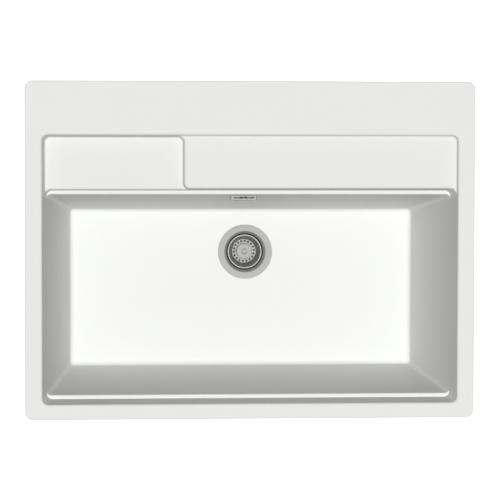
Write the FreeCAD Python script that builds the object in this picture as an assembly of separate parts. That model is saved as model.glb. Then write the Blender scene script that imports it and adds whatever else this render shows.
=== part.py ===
# Inset kitchen sink moulded in one piece from mineral composite: one large bowl, a two-level rear shelf,
# a ledge inside the bowl, a tap deck, a basket strainer waste, a covered overflow and six worktop clamps.
#
# Millimetres, +Z up, +Y towards the tap deck, front edge of the sink at -Y.
# The origin is at the middle of the sink in plan, in the plane of the worktop that the rim rests on.

import FreeCAD, Part
import math
import os
from FreeCAD import Vector

# ------------------------------------------------------------------ sink moulding: driving dimensions
SINK_LENGTH = 680.0          # along X, over the rim
SINK_DEPTH = 510.0           # along Y, over the rim
RIM_HEIGHT = 9.0             # rim top above the worktop
RIM_CORNER_R = 12.0          # outer corner of the rim in plan
RIM_EDGE_R = 3.0             # rounding of the rim's outer top edge
RIM_SIDE = 25.5              # rim width left and right of the opening
RIM_FRONT = 23.0             # rim width in front of the opening
TAP_DECK = 81.3              # rim width behind the opening
OPENING_CORNER_R = 9.0       # corner of the opening and of the shelves in plan
OPENING_EDGE_R = 4.0         # rounding of the opening's top edge
WALL = 8.5                   # moulding thickness in walls and floor
SIDE_DRAFT = 11.0            # degrees, left and right bowl walls
LONG_DRAFT = 8.6             # degrees, front and back bowl walls

SHELF_DROP = 9.0             # right shelf below the rim top
TRAY_DROP = 22.0             # left, deeper shelf below the rim top
LEDGE_DROP = 35.0            # ledge below the rim top
BOWL_DROP = 220.0            # bowl floor below the rim top
SHELF_DEPTH = 78.9           # shelves, from the back wall to their front edge, at rim height
TRAY_LENGTH = 214.3          # left shelf along X, at rim height
LEDGE_WIDTH = 5.8            # ledge along the front and back walls
SHELF_EDGE_R = 3.5           # rounding of the shelves' front edge and of the step between them
SHELF_ROOT_R = 3.0           # fillet where a shelf meets its walls
STEP_CORNER_R = 7.5          # step between the shelves, front corner in plan
LEDGE_EDGE_R = 2.2           # rounding of the ledge's lip
BOWL_CORNER_R = 6.5          # upright corners of the bowl
FLOOR_R = 8.5                # fillet between walls and floor
SHELL_FLOOR_LESS = 1.0       # outside, the rounding round the floor is this much less than at the corners

# ------------------------------------------------------------------ waste
DRAIN_X = 6.5                # drain centre from the middle of the sink
DRAIN_FROM_SHELF = 107.3     # drain centre in front of the shelves' front edge
FLANGE_R = 43.0              # steel flange that shows in the bowl floor
CUP_SHEET = 1.0              # steel sheet of the strainer cup
CUP_R = 29.0                 # cup bore
CUP_DEPTH = 38.0             # cup bottom below the bowl floor
CUP_MOUTH = 4.0              # at the flange the mouth is this much wider than the bore, in radius
CUP_MOUTH_DEPTH = 6.5        # sloping mouth, below the flange
CUP_MOUTH_R = 1.0            # roundings above and below the slope
CUP_CORNER_R = 5.0
CUP_OUTLETS = 8
CUP_OUTLET_R = 2.6
CUP_OUTLET_PITCH_R = 13.6
SEAT_GAP = 1.0               # gap round the flange in its recess
FLANGE_SINK = 0.3            # flange top below the bowl floor
FLANGE_GASKET = 1.2
GASKET_MARGIN = 1.0          # gasket inside the flange's edge
MOUTH_CLEAR = 0.5            # gasket clear of the cup's mouth
FLOOR_HOLE_GAP = 0.8         # floor hole round the cup's mouth

BASKET_LIP_R = 27.3
BASKET_LIP_THICK = 1.4
BASKET_LIP_DROP = 7.0        # lip of the basket below the bowl floor
BASKET_HEIGHT = 20.5         # basket from its lip to the underside of its base
BASKET_SHEET = 0.9
BASKET_TOP_R = 26.3
BASKET_BASE_R = 21.0
BASKET_CORNER_R = 4.0
BASKET_HOLES = 18
BASKET_HOLE_R = 1.5
BASKET_HOLE_PITCH_R = 16.3

STEM_R = 4.6
STEM_FIT = 0.2               # round the stem in the basket
STEM_PLAY = 0.1              # along the stem, between its shoulder and the basket
SHOULDER_R = 5.8
HUB_WASHER_R = 7.5
HUB_WASHER_THICK = 1.0
CLIP_R = 7.0
CLIP_THICK = 0.8
KNOB_R = 12.3
KNOB_THICK = 3.6
KNOB_RISE = 5.0              # underside of the knob above the hub washer
KNOB_EDGE_R = 1.0
KNOB_DIMPLE_R = 5.0
KNOB_DIMPLE_DEPTH = 1.2
SKIRT_WALL = 1.5             # skirt of the stem, over the head of the clamping screw
SKIRT_FIT = 0.7
STOPPER_R = 19.0
STOPPER_THICK = 4.0
STOPPER_GAP = 0.3            # between the seated stopper and the cup

CLAMPING_SCREW_R = 4.0
CLAMPING_SCREW_LENGTH = 32.0
CLAMPING_HEAD_R = 7.2
CLAMPING_HEAD = 4.2
CLAMPING_HEX = 6.0           # hexagon socket across its flats
CLAMPING_FIT = 0.3
HUB_INSERT_WALL = 2.5
HUB_INSERT_LENGTH = 14.0

BODY_GASKET = 2.0            # between the bowl and the waste body
BODY_GASKET_R = 44.0
BODY_FLANGE_R = 46.0
BODY_FLANGE_THICK = 4.5
BODY_BORE_R = 38.0
BODY_WALL = 3.0
BODY_BELOW_CUP = 12.0        # straight part of the body below the cup
BODY_EDGE_R = 1.5
BRIDGE_RING = 3.0            # ring of the bridge, held between the body and the tail
BRIDGE_FIT = 0.3             # bridge arms inside the body
BRIDGE_ARMS = 4
BRIDGE_ARM_WIDTH = 3.6
BRIDGE_ARM_HEIGHT = 9.0
BRIDGE_HUB_WALL = 2.0
TAIL_FUNNEL = 15.0
TAIL_LAP = 4.0               # collar of the tail round the foot of the body
TAIL_COLLAR_WALL = 2.5
TAIL_FIT = 0.1
TAIL_SHOULDER_R = 6.0
TAIL_NECK_R = 3.0
OUTLET_R = 23.9              # 1 1/2 inch pipe thread on the outlet tail
OUTLET_BORE_R = 19.5
OUTLET_LENGTH = 24.0
OUTLET_THREAD = 1.2          # thread depth
OUTLET_PITCH = 3.0

# ------------------------------------------------------------------ overflow
OVERFLOW_X = -7.5
OVERFLOW_Z = -56.0           # middle of the overflow cover
COVER_LENGTH = 41.0
COVER_HEIGHT = 21.0
COVER_PROUD = 7.0            # cover front from the bowl wall, at the top of the cover
COVER_SHEET = 1.2
COVER_CORNER_R = 4.0
COVER_EDGE_R = 2.0
COVER_SLOT_LENGTH = 31.0     # water enters through the top of the cover
COVER_SLOT_WIDTH = 2.6
PORT_LENGTH = 34.0           # opening through the bowl wall, with a web in its middle
PORT_HEIGHT = 13.0
PORT_WEB = 11.0
PAD_STAND = 4.0              # flat pad on the outside of the wall, at the top of the pad
PAD_MARGIN = 3.0
REAR_GASKET = 2.0
ELBOW_LENGTH = 46.0
ELBOW_HEIGHT = 27.0
ELBOW_DEPTH = 29.0
ELBOW_WALL = 2.4
ELBOW_EDGE_R = 3.0
ELBOW_BOSS_WALL = 2.5
COVER_SCREW_R = 2.5
COVER_SCREW_HEAD_R = 4.4
COVER_SCREW_HEAD = 1.9
COVER_SCREW_SLOT = 1.0
COVER_SCREW_FIT = 0.3
COVER_INSERT_LENGTH = 12.0
LINER_SHEET = 1.2            # plastic liner inside the cover
LINER_FIT = 0.2

PIPE_R = 11.0
PIPE_BORE_R = 9.0
PIPE_FIT = 0.1               # between a pipe and its socket
PIPE_INSERT = 14.0           # how far a pipe end goes into its socket
SOCKET_WALL = 2.4
SOCKET_LENGTH = 16.0
INLET_DROP = 21.5            # overflow inlet of the waste body, below the body's top
INLET_LENGTH = 22.0
BEND_R = 24.0                # centre line of the bend
NUT_R = 17.0
NUT_OVERLAP = 8.0            # nut over the socket
NUT_END = 2.2
NUT_EDGE_R = 1.2
NUT_RIBS = 12
NUT_RIB_R = 1.2
SEAL_RING = 3.0              # rubber ring between a socket and its nut

# ------------------------------------------------------------------ worktop clamps
CUTOUT_MARGIN = 10.0         # rim overlap on the worktop
CLAMP_SPREAD = 205.0         # front and back clamps, left and right of the middle
CLAMP_SIDE_Y = -30.0         # side clamps
CLAMP_INSET = 6.3            # clamp screw from the edge of the cut-out
LUG_WIDTH = 20.0
LUG_DROP = 26.0              # underside of the lug below the worktop surface
LUG_OUT = 5.2                # lug face beyond the screw axis
LUG_IN = 5.0
WORKTOP_MAX = 40.0           # thickest worktop
CLAMP_TRAVEL = 12.0
CLAMP_SCREW_R = 2.5
CLAMP_ENGAGED = 6.0          # screw in its insert when the clamp is at its lowest
CLAMP_HEAD_R = 4.5
CLAMP_HEAD = 3.6
CLAMP_SLOT = 1.2
THREAD_FIT = 0.1
INSERT_WALL = 1.2
INSERT_LENGTH = 12.0
BLIND_END = 1.0
ARM_WIDTH = 10.0
ARM_SHEET = 2.5
ARM_BEND_R = 2.0             # outside of the bend below the tooth
ARM_REACH = 25.0             # screw axis to the outer face of the tooth
ARM_RISE = 12.0              # tooth above the arm
TOOTH_WIDTH = 6.8
ARM_FIT = 0.2
ARM_PLAY = 0.1
WASHER_R = 4.9
WASHER_THICK = 1.2

# ------------------------------------------------------------------ rim seal and tap hole knock-outs
SEAL_WIDTH = 5.0
SEAL_DEPTH = 2.0
SEAL_MARGIN = 3.0            # seal groove from the rim's outer edge
SEAL_CORNER_MIN = 1.0        # least corner radius of the groove
TAP_HOLE_R = 17.5
TAP_HOLE_SPREAD = 110.0
TAP_HOLE_DEPTH = 4.0

# ------------------------------------------------------------------ modelling
PAST = 1.0                   # how far a cutting shape runs past the face that it opens
ON_PLANE = 0.01              # an edge this near to a plane lies on it
UPRIGHT = 1.0                # an edge taller than this is an upright corner

# ------------------------------------------------------------------ worked out from the above
HALF_X = SINK_LENGTH / 2
HALF_Y = SINK_DEPTH / 2
OPEN_X = HALF_X - RIM_SIDE
OPEN_FRONT = -HALF_Y + RIM_FRONT
OPEN_BACK = HALF_Y - TAP_DECK
SHELF_FRONT = OPEN_BACK - SHELF_DEPTH
STEP_X = -OPEN_X + TRAY_LENGTH
SIDE_SLOPE = math.tan(math.radians(SIDE_DRAFT))
LONG_SLOPE = math.tan(math.radians(LONG_DRAFT))
SHELF_Z = RIM_HEIGHT - SHELF_DROP
TRAY_Z = RIM_HEIGHT - TRAY_DROP
LEDGE_Z = RIM_HEIGHT - LEDGE_DROP
FLOOR_Z = RIM_HEIGHT - BOWL_DROP
UNDER_Z = FLOOR_Z - WALL
DRAIN = Vector(DRAIN_X, SHELF_FRONT - DRAIN_FROM_SHELF, 0)
FLANGE_TOP = FLOOR_Z - FLANGE_SINK
RECESS_Z = FLANGE_TOP - CUP_SHEET - FLANGE_GASKET
MOUTH_SLOPE = CUP_MOUTH / CUP_MOUTH_DEPTH
MOUTH_SHIFT = CUP_SHEET * math.sqrt(1 + MOUTH_SLOPE ** 2)
CUP_BOTTOM = FLOOR_Z - CUP_DEPTH
BASKET_LIP = FLOOR_Z - BASKET_LIP_DROP
BASKET_BASE = BASKET_LIP - BASKET_HEIGHT
BODY_TOP = UNDER_Z - BODY_GASKET
INLET_Z = BODY_TOP - INLET_DROP
BODY_LOW = CUP_BOTTOM - CUP_SHEET - BODY_BELOW_CUP
BODY_R = BODY_BORE_R + BODY_WALL
TAIL_TOP = BODY_LOW - BRIDGE_RING
FUNNEL_LOW = TAIL_TOP - TAIL_FUNNEL
OUTLET_LOW = FUNNEL_LOW - OUTLET_LENGTH
CUT_X = HALF_X - CUTOUT_MARGIN
CUT_Y = HALF_Y - CUTOUT_MARGIN
SOCKET_BORE_R = PIPE_R + PIPE_FIT
SOCKET_R = SOCKET_BORE_R + SOCKET_WALL

os.makedirs("parts", exist_ok=True)


# ------------------------------------------------------------------ helpers
def save(shape, node):
    shape.exportStep("parts/" + node + ".step")


def box(x0, x1, y0, y1, z0, z1):
    return Part.makeBox(x1 - x0, y1 - y0, z1 - z0, Vector(x0, y0, z0))


def cylinder(radius, z0, z1, at=Vector(0, 0, 0)):
    return Part.makeCylinder(radius, z1 - z0, Vector(at.x, at.y, z0))


def tapered(top, bottom, z_top, z_bottom):
    """Block with a rectangle (x0, x1, y0, y1) at each end and flat sloping sides."""
    bx0, bx1, by0, by1 = bottom
    tx0, tx1, ty0, ty1 = top
    wedge = Part.makeWedge(bx0, z_bottom, -by1, -ty1, tx0, bx1, z_top, -by0, -ty0, tx1)
    wedge.rotate(Vector(0, 0, 0), Vector(1, 0, 0), 90)
    return wedge


def pocket(x0, x1, y0, y1, z_top, z_bottom, right_slope=SIDE_SLOPE):
    """Drafted hollow whose rectangle is given at rim height; each side leans in with depth."""
    def at(z):
        drop = RIM_HEIGHT - z
        return (x0 + drop * SIDE_SLOPE, x1 - drop * right_slope,
                y0 + drop * LONG_SLOPE, y1 - drop * LONG_SLOPE)
    return tapered(at(z_top), at(z_bottom), z_top, z_bottom)


def span(edge):
    bounds = edge.BoundBox
    return bounds.XMin, bounds.XMax, bounds.YMin, bounds.YMax, bounds.ZMin, bounds.ZMax


def round_edges(shape, radius, wanted):
    edges = [edge for edge in shape.Edges if wanted(*span(edge))]
    return shape.makeFillet(radius, edges)


def revolved(points, at=Vector(0, 0, 0)):
    """Solid of revolution about Z from (r, z) points; a third value rounds that corner."""
    radii = [point[2] if len(point) > 2 else 0 for point in points]
    wire = rounded_wire([Vector(point[0], 0, point[1]) for point in points], radii)
    solid = Part.Face(wire).revolve(Vector(0, 0, 0), Vector(0, 0, 1), 360)
    solid.translate(at)
    return solid


def rounded_wire(points, radii):
    """Closed flat wire through the points, with a tangent arc at each corner that has a radius."""
    edges = []
    count = len(points)
    starts = []
    for i, point in enumerate(points):
        before = (points[i - 1] - point).normalize()
        after = (points[(i + 1) % count] - point).normalize()
        if radii[i] == 0:
            starts.append((point, point, None))
            continue
        angle = before.getAngle(after)
        reach = radii[i] / math.tan(angle / 2)
        centre = point + (before + after).normalize() * (radii[i] / math.sin(angle / 2))
        middle = centre + (point - centre).normalize() * radii[i]
        starts.append((point + before * reach, point + after * reach, middle))
    for i in range(count):
        first, last, middle = starts[i]
        if middle is not None:
            edges.append(Part.Arc(first, middle, last).toShape())
        following = starts[(i + 1) % count][0]
        if last.distanceToPoint(following) > 1e-6:
            edges.append(Part.LineSegment(last, following).toShape())
    return Part.Wire(edges)


def ring_of(shape, count, centre, start=0.0):
    copies = []
    for i in range(count):
        copy = shape.copy()
        copy.rotate(centre, Vector(0, 0, 1), start + 360.0 * i / count)
        copies.append(copy)
    return copies


# ------------------------------------------------------------------ sink moulding
def rounded_pocket(x0, x1, y0, y1, z_top, z_bottom, corner_r, root_r=0.0, right_slope=SIDE_SLOPE):
    """Pocket with rounded upright corners and a fillet round its floor, the larger radius first."""
    solid = pocket(x0, x1, y0, y1, z_top, z_bottom, right_slope)
    rounds = [(corner_r, lambda ex0, ex1, ey0, ey1, ez0, ez1: ez1 - ez0 > UPRIGHT)]
    if root_r > 0:
        rounds.append((root_r, lambda ex0, ex1, ey0, ey1, ez0, ez1: ez1 < z_bottom + ON_PLANE))
    for radius, wanted in sorted(rounds, key=lambda pair: -pair[0]):
        solid = round_edges(solid, radius, wanted)
    return solid


def step_corner():
    """Hollow in front of the rounded front corner of the step between the two shelves."""
    front = SHELF_FRONT - SHELF_DROP * LONG_SLOPE
    axis = Vector(STEP_X + STEP_CORNER_R, front + STEP_CORNER_R, 0)
    foot = STEP_CORNER_R + (TRAY_DROP - SHELF_DROP) * LONG_SLOPE
    far = 3 * STEP_CORNER_R
    post = revolved([(0, TRAY_Z - PAST), (far, TRAY_Z - PAST), (far, TRAY_Z), (foot, TRAY_Z, SHELF_ROOT_R),
                     (STEP_CORNER_R, SHELF_Z, SHELF_EDGE_R), (0, SHELF_Z)], axis)
    corner = box(axis.x - 2 * STEP_CORNER_R, axis.x, axis.y - 2 * STEP_CORNER_R, axis.y,
                 TRAY_Z, SHELF_Z + PAST)
    return corner.cut(post)


def lip(hollow, level, radius, within):
    """Hollow that rounds the edge of another hollow where it opens at a level, inside a third."""
    depth = 2 * radius
    bounds = hollow.BoundBox
    slab = box(bounds.XMin - depth, bounds.XMax + depth, bounds.YMin - depth, bounds.YMax + depth,
               level - depth, level)
    plate = slab.cut(hollow)
    inside = [edge for edge in plate.Edges
              if edge.BoundBox.ZMin > level - ON_PLANE
              and edge.BoundBox.XMin > slab.BoundBox.XMin + ON_PLANE
              and edge.BoundBox.XMax < slab.BoundBox.XMax - ON_PLANE]
    return slab.cut(plate.makeFillet(radius, inside)).common(within)


def bowl_hollow():
    """Everything that is open above the moulding: bowl, ledge, shelf and deeper tray."""
    top = RIM_HEIGHT + 2 * OPENING_CORNER_R
    reach = SHELF_FRONT - 1.5 * OPENING_CORNER_R
    tray_end = STEP_X + SHELF_DROP * LONG_SLOPE
    corner_r = OPENING_CORNER_R
    deep = 3 * SHELF_EDGE_R
    bowl = rounded_pocket(-OPEN_X, OPEN_X, OPEN_FRONT + LEDGE_WIDTH, SHELF_FRONT - LEDGE_WIDTH,
                          top, FLOOR_Z, BOWL_CORNER_R, FLOOR_R)
    upper = rounded_pocket(-OPEN_X, OPEN_X, OPEN_FRONT, SHELF_FRONT, top, LEDGE_Z, corner_r)
    below_ledge = rounded_pocket(-OPEN_X, OPEN_X, OPEN_FRONT, SHELF_FRONT, top, LEDGE_Z - deep, corner_r)
    shelf = rounded_pocket(-OPEN_X, OPEN_X, reach, OPEN_BACK, top, SHELF_Z, corner_r, SHELF_ROOT_R)
    below_shelf = rounded_pocket(-OPEN_X, OPEN_X, reach, OPEN_BACK, top, SHELF_Z - deep, corner_r)
    tray = rounded_pocket(-OPEN_X, tray_end, reach, OPEN_BACK, top, TRAY_Z,
                          corner_r, SHELF_ROOT_R, LONG_SLOPE)
    below_tray = rounded_pocket(-OPEN_X, tray_end, reach, OPEN_BACK, top, TRAY_Z - deep,
                                corner_r, 0, LONG_SLOPE)
    opening = rounded_pocket(-OPEN_X, OPEN_X, OPEN_FRONT, OPEN_BACK, top, SHELF_Z, corner_r)
    mouth = lip(opening, RIM_HEIGHT, OPENING_EDGE_R, box(-HALF_X, HALF_X, -HALF_Y, HALF_Y, 0, top))
    rounding = [lip(bowl, LEDGE_Z, LEDGE_EDGE_R, below_ledge),
                lip(upper, SHELF_Z, SHELF_EDGE_R, below_shelf),
                lip(upper, TRAY_Z, SHELF_EDGE_R, below_tray),
                lip(tray, SHELF_Z, SHELF_EDGE_R, below_shelf)]
    for hollow in [upper, shelf, tray, step_corner(), mouth] + rounding:
        bowl = bowl.fuse(hollow)
    return bowl.removeSplitter()


def shell_slope():
    """Lean of the outside of the long walls, between the rim and the underside of the floor."""
    top = SHELF_FRONT + WALL
    low = SHELF_FRONT - LEDGE_WIDTH - BOWL_DROP * LONG_SLOPE + WALL
    return (top - low) / -UNDER_Z


def sink_blank():
    """Outside of the moulding: rim slab, bowl shell and the shells under the two shelves."""
    slab = box(-HALF_X, HALF_X, -HALF_Y, HALF_Y, 0, RIM_HEIGHT)
    slab = round_edges(slab, RIM_CORNER_R, lambda x0, x1, y0, y1, z0, z1: z1 - z0 > UPRIGHT)
    slab = round_edges(slab, RIM_EDGE_R, lambda x0, x1, y0, y1, z0, z1: z0 > RIM_HEIGHT - ON_PLANE)
    half = OPEN_X + WALL - RIM_HEIGHT * SIDE_SLOPE
    low_half = OPEN_X + WALL - (BOWL_DROP + WALL) * SIDE_SLOPE
    front = OPEN_FRONT - WALL
    back = SHELF_FRONT + WALL
    lean = shell_slope() * -UNDER_Z
    shell = tapered((-half, half, front, back), (-low_half, low_half, front + lean, back - lean),
                    0, UNDER_Z)
    corner_r = BOWL_CORNER_R + WALL
    floor_r = corner_r - SHELL_FLOOR_LESS
    shell = round_edges(shell, corner_r, lambda x0, x1, y0, y1, z0, z1: z1 - z0 > UPRIGHT)
    shell = round_edges(shell, floor_r, lambda x0, x1, y0, y1, z0, z1: z1 < UNDER_Z + ON_PLANE)
    middle = (OPEN_FRONT + SHELF_FRONT) / 2
    shelf = box(STEP_X, half, middle, OPEN_BACK + WALL, SHELF_Z - WALL, 0)
    tray = box(-half, STEP_X + WALL, middle, OPEN_BACK + WALL, TRAY_Z - WALL, 0)
    shelves = []
    for block in (shelf, tray):
        shelves.append(round_edges(block, OPENING_CORNER_R,
                                   lambda x0, x1, y0, y1, z0, z1: z1 - z0 > UPRIGHT and y0 > SHELF_FRONT
                                   and abs(x0) > OPEN_X / 2))
    return slab.fuse([shell] + shelves)


def clamp_places():
    """Screw axis of each clamp and the turn about Z that faces it outwards from +Y."""
    x = CUT_X - CLAMP_INSET
    y = CUT_Y - CLAMP_INSET
    return {"back_left": (Vector(-CLAMP_SPREAD, y, 0), 0), "back_right": (Vector(CLAMP_SPREAD, y, 0), 0),
            "front_left": (Vector(-CLAMP_SPREAD, -y, 0), 180),
            "front_right": (Vector(CLAMP_SPREAD, -y, 0), 180),
            "side_left": (Vector(-x, CLAMP_SIDE_Y, 0), 90), "side_right": (Vector(x, CLAMP_SIDE_Y, 0), -90)}


def at_clamp(shape, place):
    axis, turn = place
    shape.rotate(Vector(0, 0, 0), Vector(0, 0, 1), turn)
    shape.translate(axis)
    return shape


def rim_ring(inset, width, depth):
    """Flat rounded frame under the rim, its outer edge at an inset from the rim's edge."""
    rings = []
    for edge in (inset, inset + width):
        block = box(-HALF_X + edge, HALF_X - edge, -HALF_Y + edge, HALF_Y - edge, 0, depth)
        corner_r = max(RIM_CORNER_R - edge, SEAL_CORNER_MIN)
        rings.append(round_edges(block, corner_r, lambda x0, x1, y0, y1, z0, z1: z1 - z0 > depth / 2))
    return rings[0].cut(rings[1])


def slot_along_y(length, height, y0, y1, x, z):
    """Round-ended opening that runs through a wall along Y."""
    radius = height / 2
    half = length / 2 - radius
    block = box(x - half, x + half, y0, y1, z - radius, z + radius)
    ends = [Part.makeCylinder(radius, y1 - y0, Vector(x + side * half, y0, z), Vector(0, 1, 0))
            for side in (-1, 1)]
    return block.fuse(ends).removeSplitter()


def overflow_wall(z):
    """Y of the bowl's back wall, at its inside, at a height below the ledge."""
    return SHELF_FRONT - LEDGE_WIDTH - (RIM_HEIGHT - z) * LONG_SLOPE


def pad_face():
    top = OVERFLOW_Z + ELBOW_HEIGHT / 2 + PAD_MARGIN
    return SHELF_FRONT + WALL + shell_slope() * top + PAD_STAND


def block_at_overflow(length, height, y0, y1):
    """Block centred on the overflow, between two distances along Y."""
    return box(OVERFLOW_X - length / 2, OVERFLOW_X + length / 2, y0, y1,
               OVERFLOW_Z - height / 2, OVERFLOW_Z + height / 2)


def overflow_ports():
    """Two round-ended ports and the screw hole in the web between them, through wall and gasket."""
    near = overflow_wall(OVERFLOW_Z) - WALL
    far = pad_face() + WALL
    ports = slot_along_y(PORT_LENGTH, PORT_HEIGHT, near, far, OVERFLOW_X, OVERFLOW_Z)
    web = box(OVERFLOW_X - PORT_WEB / 2, OVERFLOW_X + PORT_WEB / 2, near, far,
              OVERFLOW_Z - PORT_HEIGHT, OVERFLOW_Z + PORT_HEIGHT)
    screw = Part.makeCylinder(COVER_SCREW_R + COVER_SCREW_FIT, far - near,
                              Vector(OVERFLOW_X, near, OVERFLOW_Z), Vector(0, 1, 0))
    return ports.cut(web).fuse(screw)


def mouth_r(z):
    """Outside radius of the cup's sloping mouth at a height."""
    return CUP_R + CUP_MOUTH - (FLANGE_TOP - z) * MOUTH_SLOPE + MOUTH_SHIFT


def sink_body():
    """The moulding, with its overflow pad and clamp lugs, and everything that is cut into it."""
    pad = block_at_overflow(ELBOW_LENGTH + 2 * PAD_MARGIN, ELBOW_HEIGHT + 2 * PAD_MARGIN,
                            SHELF_FRONT - LEDGE_WIDTH, pad_face())
    lug_shape = box(-LUG_WIDTH / 2, LUG_WIDTH / 2, -LUG_IN, LUG_OUT, -LUG_DROP, 0)
    lugs = [at_clamp(lug_shape.copy(), place) for place in clamp_places().values()]
    blank = sink_blank().fuse([pad] + lugs)

    insert_r = CLAMP_SCREW_R + THREAD_FIT + INSERT_WALL
    blind_top = -LUG_DROP + CLAMP_ENGAGED + CLAMP_TRAVEL + BLIND_END
    lug_hole = cylinder(insert_r, -LUG_DROP, -LUG_DROP + INSERT_LENGTH)
    lug_hole = lug_hole.fuse(cylinder(CLAMP_SCREW_R + 4 * THREAD_FIT, -LUG_DROP, blind_top))
    cuts = [at_clamp(lug_hole.copy(), place) for place in clamp_places().values()]
    tap_y = (OPEN_BACK + WALL + CUT_Y) / 2
    for i in (-1, 0, 1):
        cuts.append(cylinder(TAP_HOLE_R, 0, TAP_HOLE_DEPTH, Vector(i * TAP_HOLE_SPREAD, tap_y, 0)))
    cuts.append(rim_ring(SEAL_MARGIN, SEAL_WIDTH, SEAL_DEPTH))
    cuts.append(cylinder(FLANGE_R + SEAT_GAP, RECESS_Z, FLOOR_Z + PAST, DRAIN))
    cuts.append(cylinder(mouth_r(RECESS_Z) + FLOOR_HOLE_GAP, UNDER_Z - PAST, FLOOR_Z, DRAIN))
    cuts.append(overflow_ports())
    return blank.cut([bowl_hollow()] + cuts).removeSplitter()


SINK = sink_body()
save(SINK, "sink_body")
save(rim_ring(SEAL_MARGIN, SEAL_WIDTH, SEAL_DEPTH), "rim_seal")


# ------------------------------------------------------------------ strainer cup and waste body
def tube(outer_r, inner_r, z0, z1, at=DRAIN):
    return cylinder(outer_r, z0, z1, at).cut(cylinder(inner_r, z0, z1, at))


def strainer_cup():
    low = CUP_BOTTOM - CUP_SHEET
    hole_r = CLAMPING_SCREW_R + CLAMPING_FIT
    outer_r = CUP_R + CUP_SHEET
    under = FLANGE_TOP - CUP_SHEET
    mouth_low = FLANGE_TOP - CUP_MOUTH_DEPTH
    cup = revolved([(FLANGE_R, FLANGE_TOP, CUP_SHEET / 3), (FLANGE_R, under), (mouth_r(under), under),
                    (outer_r, mouth_low + (CUP_SHEET - MOUTH_SHIFT) / MOUTH_SLOPE, CUP_MOUTH_R),
                    (outer_r, low, CUP_CORNER_R + CUP_SHEET), (hole_r, low), (hole_r, CUP_BOTTOM),
                    (CUP_R, CUP_BOTTOM, CUP_CORNER_R), (CUP_R, mouth_low, CUP_MOUTH_R + CUP_SHEET),
                    (CUP_R + CUP_MOUTH, FLANGE_TOP, CUP_MOUTH_R)], DRAIN)
    outlet = cylinder(CUP_OUTLET_R, low - PAST, CUP_BOTTOM + PAST, DRAIN + Vector(CUP_OUTLET_PITCH_R, 0, 0))
    return cup.cut(ring_of(outlet, CUP_OUTLETS, DRAIN))


def towards_overflow(shape):
    """Turn a shape made along +X from the drain axis to face the overflow's down pipe."""
    away = down_pipe_axis() - DRAIN
    shape.rotate(Vector(0, 0, 0), Vector(0, 0, 1), math.degrees(math.atan2(away.y, away.x)))
    shape.translate(DRAIN)
    return shape


def down_pipe_axis():
    return Vector(OVERFLOW_X, pad_face() + REAR_GASKET + ELBOW_DEPTH / 2, 0)


def along_x(radius, x0, x1, z):
    return Part.makeCylinder(radius, x1 - x0, Vector(x0, 0, z), Vector(1, 0, 0))


def waste_body():
    """Pot under the bowl, with a flange on top and a socket for the overflow on its side."""
    body = revolved([(BODY_BORE_R, BODY_TOP), (BODY_FLANGE_R, BODY_TOP),
                     (BODY_FLANGE_R, BODY_TOP - BODY_FLANGE_THICK, BODY_EDGE_R),
                     (BODY_R, BODY_TOP - BODY_FLANGE_THICK, BODY_EDGE_R),
                     (BODY_R, BODY_LOW), (BODY_BORE_R, BODY_LOW)], DRAIN)
    inlet_end = BODY_R + INLET_LENGTH
    inlet = towards_overflow(along_x(SOCKET_R, BODY_BORE_R, inlet_end, INLET_Z))
    body = body.fuse(inlet).cut(cylinder(BODY_BORE_R, BODY_LOW, BODY_TOP, DRAIN))
    bore = towards_overflow(along_x(PIPE_BORE_R, BODY_BORE_R - BODY_WALL, inlet_end + PAST, INLET_Z))
    socket = towards_overflow(along_x(SOCKET_BORE_R, inlet_end - PIPE_INSERT, inlet_end + PAST, INLET_Z))
    return body.cut([bore, socket])


def waste_bridge():
    """Ring under the pot whose arms carry the hub for the clamping screw."""
    hub_r = CLAMPING_SCREW_R + HUB_INSERT_WALL + BRIDGE_HUB_WALL
    hub = cylinder(hub_r, BODY_LOW - HUB_INSERT_LENGTH / 2, BODY_LOW + HUB_INSERT_LENGTH / 2, DRAIN)
    arm = box(0, BODY_BORE_R + BODY_WALL / 2, -BRIDGE_ARM_WIDTH / 2, BRIDGE_ARM_WIDTH / 2,
              TAIL_TOP, TAIL_TOP + BRIDGE_ARM_HEIGHT)
    arm.translate(DRAIN)
    ring = tube(BODY_R, BODY_BORE_R, TAIL_TOP, BODY_LOW)
    bridge = ring.fuse([hub] + ring_of(arm, BRIDGE_ARMS, DRAIN, 180 / BRIDGE_ARMS))
    body_room = tube(BODY_R, BODY_BORE_R - BRIDGE_FIT, BODY_LOW, BODY_TOP)
    insert_r = CLAMPING_SCREW_R + HUB_INSERT_WALL
    insert_hole = cylinder(insert_r, BODY_LOW - HUB_INSERT_LENGTH, BODY_LOW + HUB_INSERT_LENGTH, DRAIN)
    return bridge.cut([body_room, insert_hole])


def waste_tail():
    """Funnel and threaded tail, with a collar round the bridge's ring and the foot of the pot."""
    core_r = OUTLET_R - OUTLET_THREAD
    collar_bore_r = BODY_R + TAIL_FIT
    collar_r = collar_bore_r + TAIL_COLLAR_WALL
    profile = [(BODY_BORE_R, TAIL_TOP), (collar_bore_r, TAIL_TOP), (collar_bore_r, BODY_LOW + TAIL_LAP),
               (collar_r, BODY_LOW + TAIL_LAP, TAIL_COLLAR_WALL / 3), (collar_r, TAIL_TOP, TAIL_SHOULDER_R),
               (core_r, FUNNEL_LOW, TAIL_NECK_R)]
    threads = int(OUTLET_LENGTH / OUTLET_PITCH) - 1
    for i in range(threads):
        z = FUNNEL_LOW - (i + 1) * OUTLET_PITCH
        profile += [(core_r, z + OUTLET_PITCH / 3), (OUTLET_R, z + OUTLET_PITCH / 12),
                    (OUTLET_R, z - OUTLET_PITCH / 12), (core_r, z - OUTLET_PITCH / 3)]
    profile += [(core_r, OUTLET_LOW), (OUTLET_BORE_R, OUTLET_LOW), (OUTLET_BORE_R, FUNNEL_LOW, TAIL_NECK_R)]
    return revolved(profile, DRAIN)


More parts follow.
